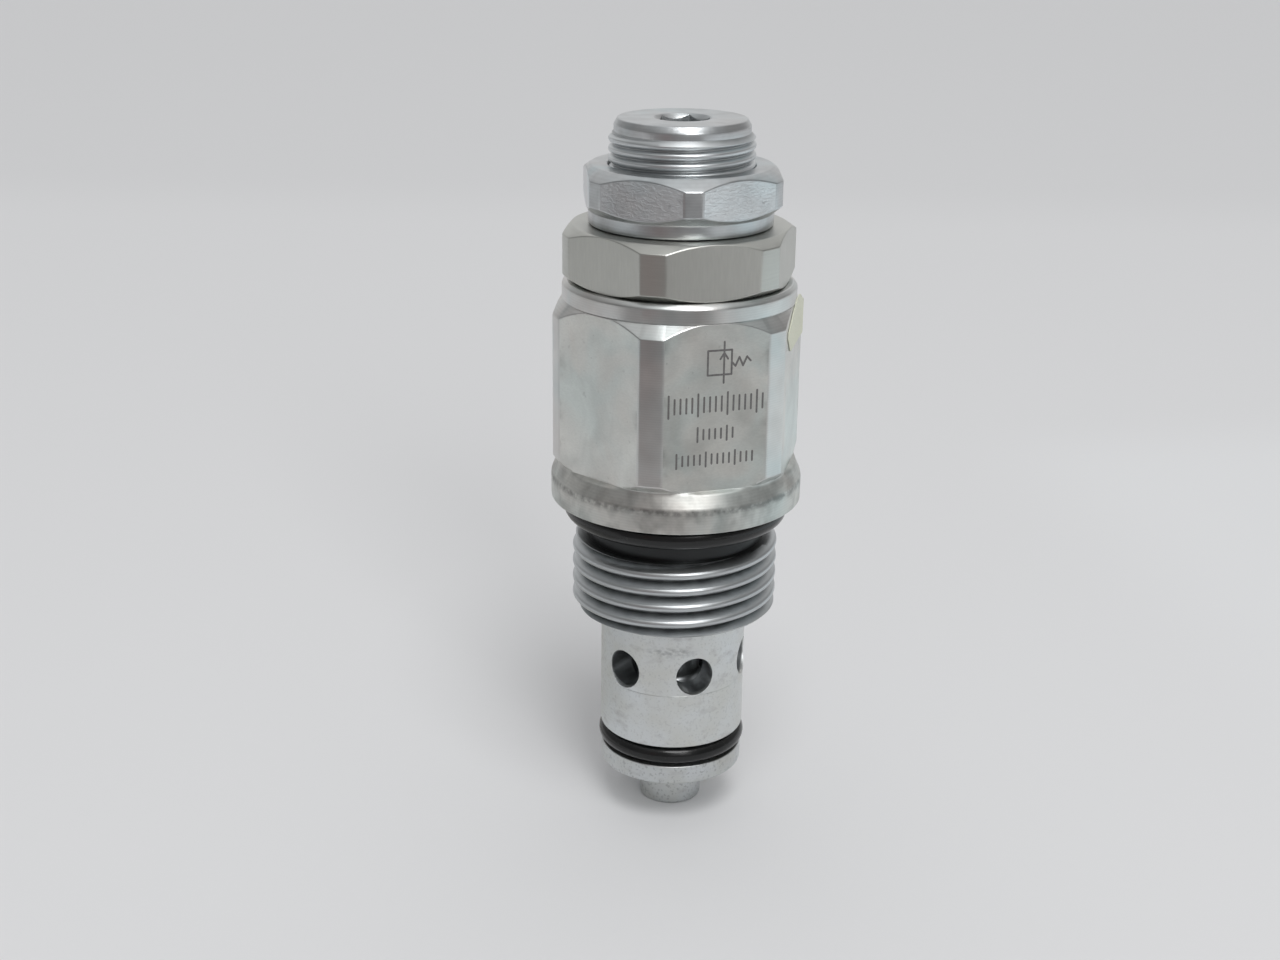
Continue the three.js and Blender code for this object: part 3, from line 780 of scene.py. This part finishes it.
def nut_outline(angle):
    flat = reach(NUT_HEX, angle)
    corner = NUT_HEX["corner"]
    foot, face, bore, pocket = 9.54, 9.3, 7.54, 8.7
    foot_top, hex_z, pocket_top = NUT_Z + 1.35, NUT_Z + 1.5, NUT_Z + 1.6
    lower, upper = NUT_Z + 2.45, NUT_TOP - 1.05
    slope, chamfer = 0.72, 0.12
    return [
        (pocket, NUT_Z, 0.05), (foot, NUT_Z, 0.35), (foot, foot_top, 0.3),
        (foot + 0.05, hex_z, 0.05), (flat, lower - (corner - flat) * slope, 0.12),
        (flat, upper + (corner - flat) * slope, 0.12), (face, NUT_TOP, 0.12),
        (bore + chamfer, NUT_TOP, 0.04), (bore, NUT_TOP - chamfer, 0.04), (bore, pocket_top, 0),
        (pocket, pocket_top, 0),
    ]


def build_nut():
    mesh = mesh_from("nut", loft(nut_outline, hexagon_columns(NUT_HEX), closed=True))
    paint_flats(mesh, NUT_HEX, (NUT_Z + 1.5, NUT_TOP), 1)
    piece("lock_nut_piece", mesh, "nut", [ZINC_SCREW, ZINC_NUT_FLAT], ["lock_nut"])


def screw_outline(angle):
    """Column of the screw from its head, up its core and neck, and down into the key socket."""
    socket = reach(SOCKET_HEX, angle)
    neck, top, neck_z, bevel_z = 6.98, 6.59, 74.9, SCREW_TOP - 0.67
    head, groove, mouth = 8.0, 6.7, 3.0
    groove_z, groove_top, head_top = 54.8, 57.3, 58
    floor = SCREW_TOP - 6
    return [
        (0, SCREW_Z, 0), (head, SCREW_Z, 0.3), (head, groove_z, 0.08), (groove, groove_z, 0.05),
        (groove, groove_top, 0.05), (head, groove_top, 0.08), (head, head_top, 0.3),
        (SCREW_CORE, head_top, 0.1), (SCREW_CORE, neck_z, 0), (neck, neck_z, 0.1),
        (neck, bevel_z, 0.12), (top, SCREW_TOP, 0.15), (mouth, SCREW_TOP, 0.04),
        (socket, SCREW_TOP - (mouth - socket), 0.04), (socket, floor, 0.05),
        (socket * 0.5, floor - 0.3, 0), (0, floor - 0.6, 0),
    ]


def build_screw():
    columns, thread_z, thread_top = 96, 61, 75
    rounds = {round(a, 6) for a in round_columns(columns)}
    angles = sorted(rounds | set(hexagon_columns(SOCKET_HEX)))
    core = mesh_from("core", loft(screw_outline, angles, closed=False))
    thread = threaded_sleeve(ADJUSTER_THREAD, SCREW_CORE, thread_z, thread_top, columns)
    piece(
        "adjusting_screw_core", core, "adjuster", [ZINC_SCREW], ["adjusting_screw"]
    )
    piece(
        "adjusting_screw_thread", thread, "adjuster", [THREAD_SCREW],
        ["adjusting_screw"],
    )


def build_rings():
    """O-rings, backup ring and the lock nut's seal, each the section that its CAD node holds."""
    for node, body in (
        ("nose_o_ring", "housing"),
        ("boss_o_ring", "housing"),
        ("cap_o_ring", "housing"),
        ("adjuster_o_ring", "adjuster"),
    ):
        low, high = span(node)
        section = (high - low) / 2
        if node in ("cap_o_ring", "adjuster_o_ring"):
            section /= math.sin(TURN / 6)  # the CAD section is a hexagon, lower than it is wide
        shell = torus(radius_of(node) - section, section, (low + high) / 2)
        piece(node + "_piece", mesh_from(node, shell), body, [RUBBER], [node])
    for node, body, inner in (
        ("adjuster_backup_ring", "adjuster", 6.8),
        ("lock_nut_seal", "nut_seal", 7.65),
    ):
        low, high = span(node)
        outer = radius_of(node)
        outline = [(inner, low, 0.1), (outer, low, 0.1), (outer, high, 0.1), (inner, high, 0.1)]
        lathe(node + "_piece", outline, body, [PLASTIC], node)


def along(points, position):
    """Height of a line through points at a position across it, and flat beyond its ends."""
    for (x0, z0), (x1, z1) in zip(points, points[1:]):
        if position <= x1:
            return z0 + (z1 - z0) * max(position - x0, 0) / (x1 - x0)
    return points[-1][1]


def build_label():
    """A blank sticker with clipped corners on a flat of the body, its free edges lifting."""
    facing, thickness, lift = math.radians(60), 0.1, 0.04
    left, right, loose_x, loose_z = -4.4, 5.3, 3.5, 57.2
    bottom_edge = [(left, 55.1), (-2.8, 53.55), (right, 53.55)]
    top_edge = [(left, 55.9), (-2.0, 57.15), (0.4, 58.25), (1.6, 58.5), (2.8, 58.3), (right, 57.2)]
    away = BODY_HEX["across"] / 2 + 0.04
    columns, rows = 32, 16
    front = []
    for i in range(columns + 1):
        across = left + (right - left) * i / columns
        bottom, top = along(bottom_edge, across), along(top_edge, across)
        for j in range(rows + 1):
            z = bottom + (top - bottom) * j / rows
            side = max(across - loose_x, 0) / (right - loose_x)
            upper = max(z - loose_z, 0) / (top_edge[3][1] - loose_z)
            front.append((across, away + thickness + lift * (side ** 2 + upper ** 2), z))
    turn = Matrix.Rotation(facing, 4, "Z")
    vertices = [tuple(turn @ Vector((x * MM, -y * MM, z * MM))) for x, y, z in front]
    vertices += [tuple(turn @ Vector((x * MM, -(y - thickness) * MM, z * MM))) for x, y, z in front]
    stride, back = rows + 1, len(front)
    faces = []
    for i in range(columns):
        for j in range(rows):
            a = i * stride + j
            quad = (a, a + stride, a + stride + 1, a + 1)
            faces.append(quad)
            faces.append(tuple(back + k for k in reversed(quad)))
    rim = [i * stride for i in range(columns + 1)]
    rim += [columns * stride + j for j in range(1, rows + 1)]
    rim += [i * stride + rows for i in range(columns - 1, -1, -1)]
    rim += [j for j in range(rows - 1, 0, -1)]
    for k, a in enumerate(rim):
        b = rim[(k + 1) % len(rim)]
        faces.append((b, a, back + a, back + b))
    mesh = mesh_from("label", (vertices, faces))
    piece("blank_label_piece", mesh, "housing", [PAPER], ["blank_label"])


def stroke(start, end, width, away):
    """A flat etched line from start to end on the flat that faces -Y, as a thin closed bar."""
    a, b = Vector(start), Vector(end)
    forward = (b - a).normalized()
    side = Vector((-forward.y, forward.x)) * width / 2
    caps = 6
    edge = []
    for centre, base in ((b, math.atan2(-side.y, -side.x)), (a, math.atan2(side.y, side.x))):
        for k in range(caps + 1):
            angle = base + math.pi * k / caps
            edge.append(centre + Vector((math.cos(angle), math.sin(angle))) * width / 2)
    depth = 0.012
    vertices = [(p.x * MM, -(away + d) * MM, p.y * MM) for d in (depth, -depth) for p in edge]
    count = len(edge)
    faces = [tuple(range(count)), tuple(range(2 * count - 1, count - 1, -1))]
    for k in range(count):
        after = (k + 1) % count
        faces.append((after, k, count + k, count + after))
    return vertices, faces


def build_mark():
    """A plain relief-valve symbol over rows of ticks, in place of any maker's marking."""
    away, width = BODY_HEX["across"] / 2, 0.2
    centre, half = Vector((0.3, 54.0)), 1.25
    corners = [centre + half * Vector(c) for c in ((-1, -1), (1, -1), (1, 1), (-1, 1))]
    lines = [(corners[k], corners[(k + 1) % 4]) for k in range(4)]
    flow, flow_end, arrow, barb = 0.45, 2.1, 0.95, Vector((0.4, -0.6))
    lines.append((centre + Vector((flow, -flow_end)), centre + Vector((flow, flow_end))))
    for side in (-1, 1):
        point = centre + Vector((flow, arrow))
        lines.append((point, point + Vector((side * barb.x, barb.y))))
    spring_step, spring_height, spring_steps = 0.4, 0.45, 5
    zigzag = []
    for k in range(spring_steps + 1):
        swing = spring_height * (-1) ** k if 0 < k < spring_steps else 0
        zigzag.append(centre + Vector((half + spring_step * k, swing)))
    lines += list(zip(zigzag, zigzag[1:]))
    pitch, ticks_per_long = 0.62, 5
    rows = ((49.75, 17, 2.3, 1.5), (46.65, 7, 1.5, 1.0), (44.0, 14, 1.5, 1.0))
    for z, count, long, short in rows:
        for k in range(count):
            x = (k - (count - 1) / 2) * pitch
            tall = Vector((0, (short if k % ticks_per_long else long) / 2))
            lines.append((Vector((x, z)) - tall, Vector((x, z)) + tall))
    prouder = 0.0001  # each line stands out a hair more than the last, so no two share a face
    shells = [stroke(a, b, width, away + k * prouder) for k, (a, b) in enumerate(lines)]
    mesh = mesh_from("mark", *shells)
    piece("etched_mark", mesh, "housing", [ETCHING])


def build_poppet():
    """Cone and stem, with a pocket for the ball in its top."""
    nose, collar, cone_top = SEAT_TOP - 1.9, 3.9, SEAT_TOP + 0.8
    piston_top, pocket_z = span("damping_piston")[1], 25.85
    outline = [
        (0, nose, 0), (1.2, nose, 0.1), (collar, cone_top, 0.1), (collar, cone_top + 0.7, 0.2),
        (STEM_RADIUS, cone_top + 1.6, 0.3), (STEM_RADIUS, piston_top, 0.15),
        (BALL_POCKET, piston_top, 0.1), (BALL_POCKET, pocket_z, 0.1), (0, pocket_z, 0),
    ]
    lathe(
        "poppet_piece", outline, "poppet_set", [SHADED_BORE], "poppet",
        closed=False, columns=72,
    )


def build_piston():
    """Guide on the poppet's stem, with two oil grooves round it."""
    low, high = span("damping_piston")
    outer, bore, groove_depth = GUIDE_BORE - 0.1, STEM_RADIUS + 0.05, 0.3
    outline = [(bore, low, 0.1), (outer, low, 0.3)]
    for z in (23.0, 25.0):
        outline += [(outer, z, 0.05), (outer - groove_depth, z + 0.1, 0.05)]
        outline += [(outer - groove_depth, z + 0.4, 0.05), (outer, z + 0.5, 0.05)]
    outline += [(outer, high, 0.2), (bore, high, 0.1)]
    lathe(
        "damping_piston_piece", outline, "poppet_set", [SHADED_BORE],
        "damping_piston", columns=72,
    )


def build_ball():
    low, high = span("pivot_ball")
    ball, middle, steps = (high - low) / 2, (low + high) / 2, 24
    arc = []
    for k in range(steps + 1):
        angle = math.pi * k / steps
        arc.append((ball * math.sin(angle), middle - ball * math.cos(angle), 0))
    lathe(
        "pivot_ball_piece", arc, "poppet_set", [HARDENED], "pivot_ball",
        closed=False, columns=48,
    )


def build_spring_seats():
    """The two seats that hold the spring's ends, and the shim on the lower one."""
    pilot_height, cup_z = 2.5, span("pivot_ball")[1] + 0.05
    low, high = span("lower_spring_seat")
    face, rim = high - pilot_height, radius_of("lower_spring_seat")
    lower = [
        (0, cup_z, 0), (BALL_POCKET, cup_z, 0.1), (BALL_POCKET, low, 0.1), (rim, low, 0.3),
        (rim, face, 0.2), (SPRING_PILOT, face, 0.1), (SPRING_PILOT, high, 0.6), (0, high, 0),
    ]
    low, high = span("upper_spring_seat")
    face, rim = low + pilot_height, radius_of("upper_spring_seat")
    upper = [
        (0, low, 0), (SPRING_PILOT, low, 0.6), (SPRING_PILOT, face, 0.1), (rim, face, 0.2),
        (rim, high, 0.3), (0, high, 0),
    ]
    for node, body, outline in (
        ("lower_spring_seat", "poppet_set", lower),
        ("upper_spring_seat", "spring_carrier", upper),
    ):
        lathe(
            node + "_piece", outline, body, [HARDENED], node,
            closed=False, columns=72,
        )
    low, high = span("shim_washer")
    inner, outer, soft = 4.1, 6.3, 0.08
    shim = [(inner, low, soft), (outer, low, soft), (outer, high, soft), (inner, high, soft)]
    lathe(
        "shim_washer_piece", shim, "poppet_set", [HARDENED], "shim_washer",
        columns=72,
    )


def build_spring():
    """The coil in two halves that meet at a fixed height, each trimmed flat at its end."""
    low, high = span("main_spring")
    turns, end_pitch, wire, radius, ground = 6.6, 2.3, 2.2, 5.2, 0.35
    rise = high - low - 2 * ground
    open_pitch = (rise - 2 * end_pitch) / (turns - 2)
    steps = 24

    def height(turn):
        opened = min(max(turn - 1, 0), turns - 2)
        return low + ground + end_pitch * (turn - opened) + open_pitch * opened

    total = round(turns * steps)
    heights = [(turns * k / total, height(turns * k / total)) for k in range(total + 1)]
    half = total // 2
    ends = [(0, low, 0), (SPRING_BORE, low, 0), (SPRING_BORE, high, 0), (0, high, 0)]
    slab = loft(lambda angle: ends, round_columns(24), closed=False)
    for name, part, body, end in (
        ("main_spring_lower", heights[: half + 1], "poppet_set", low * MM),
        ("main_spring_upper", heights[half:], "spring_carrier", high * MM),
    ):
        mesh = boolean(mesh_from(name, helix_tube(radius, wire, part)), slab, "INTERSECT")
        made = piece(name, mesh, None, [SPRING_WIRE], ["main_spring"])
        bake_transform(made)


# ---- Studio and camera -------------------------------------------------------------------------

CAMERA_AZIMUTH = -18.5
CAMERA_DISTANCE = 184.8
CAMERA_HEIGHT = 102.58
CAMERA_PITCH = 19.393
CAMERA_YAW = -1.193
CAMERA_ROLL = 0.732
LENS_MM = 51.08
SENSOR_MM = 36


def build_camera():
    pitch, yaw, roll = (math.radians(a) for a in (CAMERA_PITCH, CAMERA_YAW, CAMERA_ROLL))
    level = Vector((math.sin(yaw), math.cos(yaw), 0))
    forward = level * math.cos(pitch) - Vector((0, 0, math.sin(pitch)))
    right = Vector((math.cos(yaw), -math.sin(yaw), 0))
    up = right.cross(forward)
    axes = Matrix((
        math.cos(roll) * right + math.sin(roll) * up,
        -math.sin(roll) * right + math.cos(roll) * up,
        -forward,
    )).transposed().to_4x4()
    place = Matrix.Translation((0, -CAMERA_DISTANCE * MM, CAMERA_HEIGHT * MM))
    data = bpy.data.cameras.new("camera")
    data.lens = LENS_MM
    data.sensor_width = SENSOR_MM
    data.clip_start = 0.005
    camera = add_object("camera", data)
    camera.matrix_world = Matrix.Rotation(math.radians(CAMERA_AZIMUTH), 4, "Z") @ place @ axes
    bpy.context.scene.camera = camera


def toward(azimuth, elevation):
    """Unit vector from the valve to something at an azimuth from the camera's and an elevation."""
    a, e = math.radians(CAMERA_AZIMUTH + azimuth), math.radians(elevation)
    return Vector((math.sin(a) * math.cos(e), -math.cos(a) * math.cos(e), math.sin(e)))


def build_floor():
    """Flat pale paper, painted a shade darker from about 0.3 m behind the valve on, as painted shade
    where a backdrop would take less light.
    """
    made = Surface("studio_paper", Roughness=0.85, Specular_IOR_Level=0.2)
    behind = made.vector_math("DOT_PRODUCT", made.place, -toward(0, 0))
    # Painted shade: the paper darkens from 0.315 m to 0.40 m behind the valve.
    far_shade = made.step(behind, 0.315, 0.40)
    made.colour(made.mix(far_shade, (0.775, 0.78, 0.792, 1), (0.745, 0.75, 0.762, 1)))
    made.bump((made.noise(0.8, 3), 0.01))
    half = 3.0
    mesh = bpy.data.meshes.new("floor")
    corners = [(-half, -half, 0), (half, -half, 0), (half, half, 0), (-half, half, 0)]
    mesh.from_pydata(corners, [], [(0, 1, 2, 3)])
    mesh.materials.append(made.material)
    floor = add_object("floor", mesh)


def add_light(kind, name, azimuth, elevation, energy, distance=1, **settings):
    """A lamp that faces the middle of the valve."""
    data = bpy.data.lights.new(name, kind)
    data.energy = energy
    for key, value in settings.items():
        setattr(data, key, value)
    light = add_object(name, data)
    away = toward(azimuth, elevation)
    light.location = Vector((0, 0, 0.04)) + away * distance
    light.rotation_euler = away.to_track_quat("Z", "Y").to_euler()


def add_card(name, width, height, colour, azimuth, distance, z, flat, patch=None):
    """A soft-edged glowing card, upright or flat on the floor, that only shows in the metal."""
    made = Surface(name)
    tree = made.tree
    tree.nodes.remove(made.shader)
    across, _, up = made.split()
    inside = made.math(
        "MULTIPLY",
        made.step(made.math("ABSOLUTE", across), width * 0.38, width * 0.5, 1.0, 0.0),
        made.step(made.math("ABSOLUTE", up), height * 0.4, height * 0.5, 1.0, 0.0),
    )
    if patch:
        off = made.math("ABSOLUTE", made.math("SUBTRACT", across, patch["across"]))
        tinted = made.math(
            "MULTIPLY",
            made.step(off, patch["half"] * 0.4, patch["half"], 1.0, 0.0),
            made.step(up, patch["bottom"] - 0.006, patch["bottom"]),
        )
        colour = made.mix(tinted, colour, patch["colour"])
    glow = made.node("ShaderNodeEmission", Color=colour, Strength=1.0)
    clear = made.node("ShaderNodeBsdfTransparent")
    blend = made.node("ShaderNodeMixShader")
    made.feed(blend.inputs[0], inside)
    tree.links.new(clear.outputs[0], blend.inputs[1])
    tree.links.new(glow.outputs[0], blend.inputs[2])
    tree.links.new(blend.outputs[0], tree.nodes["Material Output"].inputs["Surface"])
    mesh = bpy.data.meshes.new(name)
    corners = [(x * width / 2, 0, z * height / 2) for x, z in ((-1, -1), (1, -1), (1, 1), (-1, 1))]
    mesh.from_pydata(corners, [], [(0, 1, 2, 3)])
    mesh.materials.append(made.material)
    card = add_object(name, mesh)
    card.location = toward(azimuth, 0) * distance + Vector((0, 0, z))
    card.rotation_euler = (TURN / 4 if flat else 0, 0, math.radians(CAMERA_AZIMUTH + azimuth))
    for ray in ("camera", "diffuse", "shadow", "transmission", "volume_scatter"):
        setattr(card, "visible_" + ray, False)


def build_cards():
    """What stands round the valve and shows in it: someone in front, darker sides, a window."""
    reddish = {"across": -0.031, "half": 0.013, "bottom": -0.004, "colour": (0.27, 0.17, 0.165, 1)}
    add_card("dark_figure", 0.235, 0.14, (0.25, 0.24, 0.24, 1), -10, 0.105, 0.03, False, reddish)
    add_card("low_figure", 0.06, 0.05, (0.36, 0.36, 0.35, 1), 38, 0.11, 0, False)
    lying = 0.002
    add_card("near_shade", 0.11, 0.06, (0.46, 0.46, 0.45, 1), -118, 0.048, lying, True)
    add_card("dark_side", 0.36, 0.30, (0.35, 0.35, 0.34, 1), -103, 0.40, lying, True)
    add_card("window", 0.26, 0.34, (0.82, 0.90, 0.93, 1), 102, 0.24, lying, True)


def build_light():
    """A pale room, brighter behind the valve and dark high at its sides, and two soft lamps."""
    world = bpy.data.worlds.new("studio")
    bpy.context.scene.world = world
    world.use_nodes = True
    made = Nodes(world.node_tree, "Generated")
    ahead = made.vector_math("DOT_PRODUCT", made.place, toward(0, -15))
    room = made.step(ahead, -0.5, 0.8, 0.72, 0.28)
    aside = made.math("ABSOLUTE", made.vector_math("DOT_PRODUCT", made.place, toward(90, 0)))
    height = made.vector_math("DOT_PRODUCT", made.place, (0, 0, 1))
    corner = made.math("MULTIPLY", made.step(aside, 0.35, 0.75), made.step(height, 0.02, 0.2))
    left_lit = made.math("SUBTRACT", 1.0, made.math("MULTIPLY", corner, 0.6))
    shaded = made.math("MULTIPLY", room, left_lit)
    made.feed(world.node_tree.nodes["Background"].inputs["Color"], shaded)
    add_light("SUN", "overhead_light", 15, 62, 1.0, angle=math.radians(28))
    add_light("AREA", "front_light", 18, 28, 1.2, size=0.22, distance=0.7)
    bpy.context.scene.view_settings.view_transform = "Standard"


build_inlet_seat()
build_sleeve()
build_body()
build_cap()
build_nut()
build_screw()
build_rings()
build_label()
build_mark()
build_poppet()
build_piston()
build_ball()
build_spring_seats()
build_spring()
build_floor()
build_cards()
build_light()
build_camera()
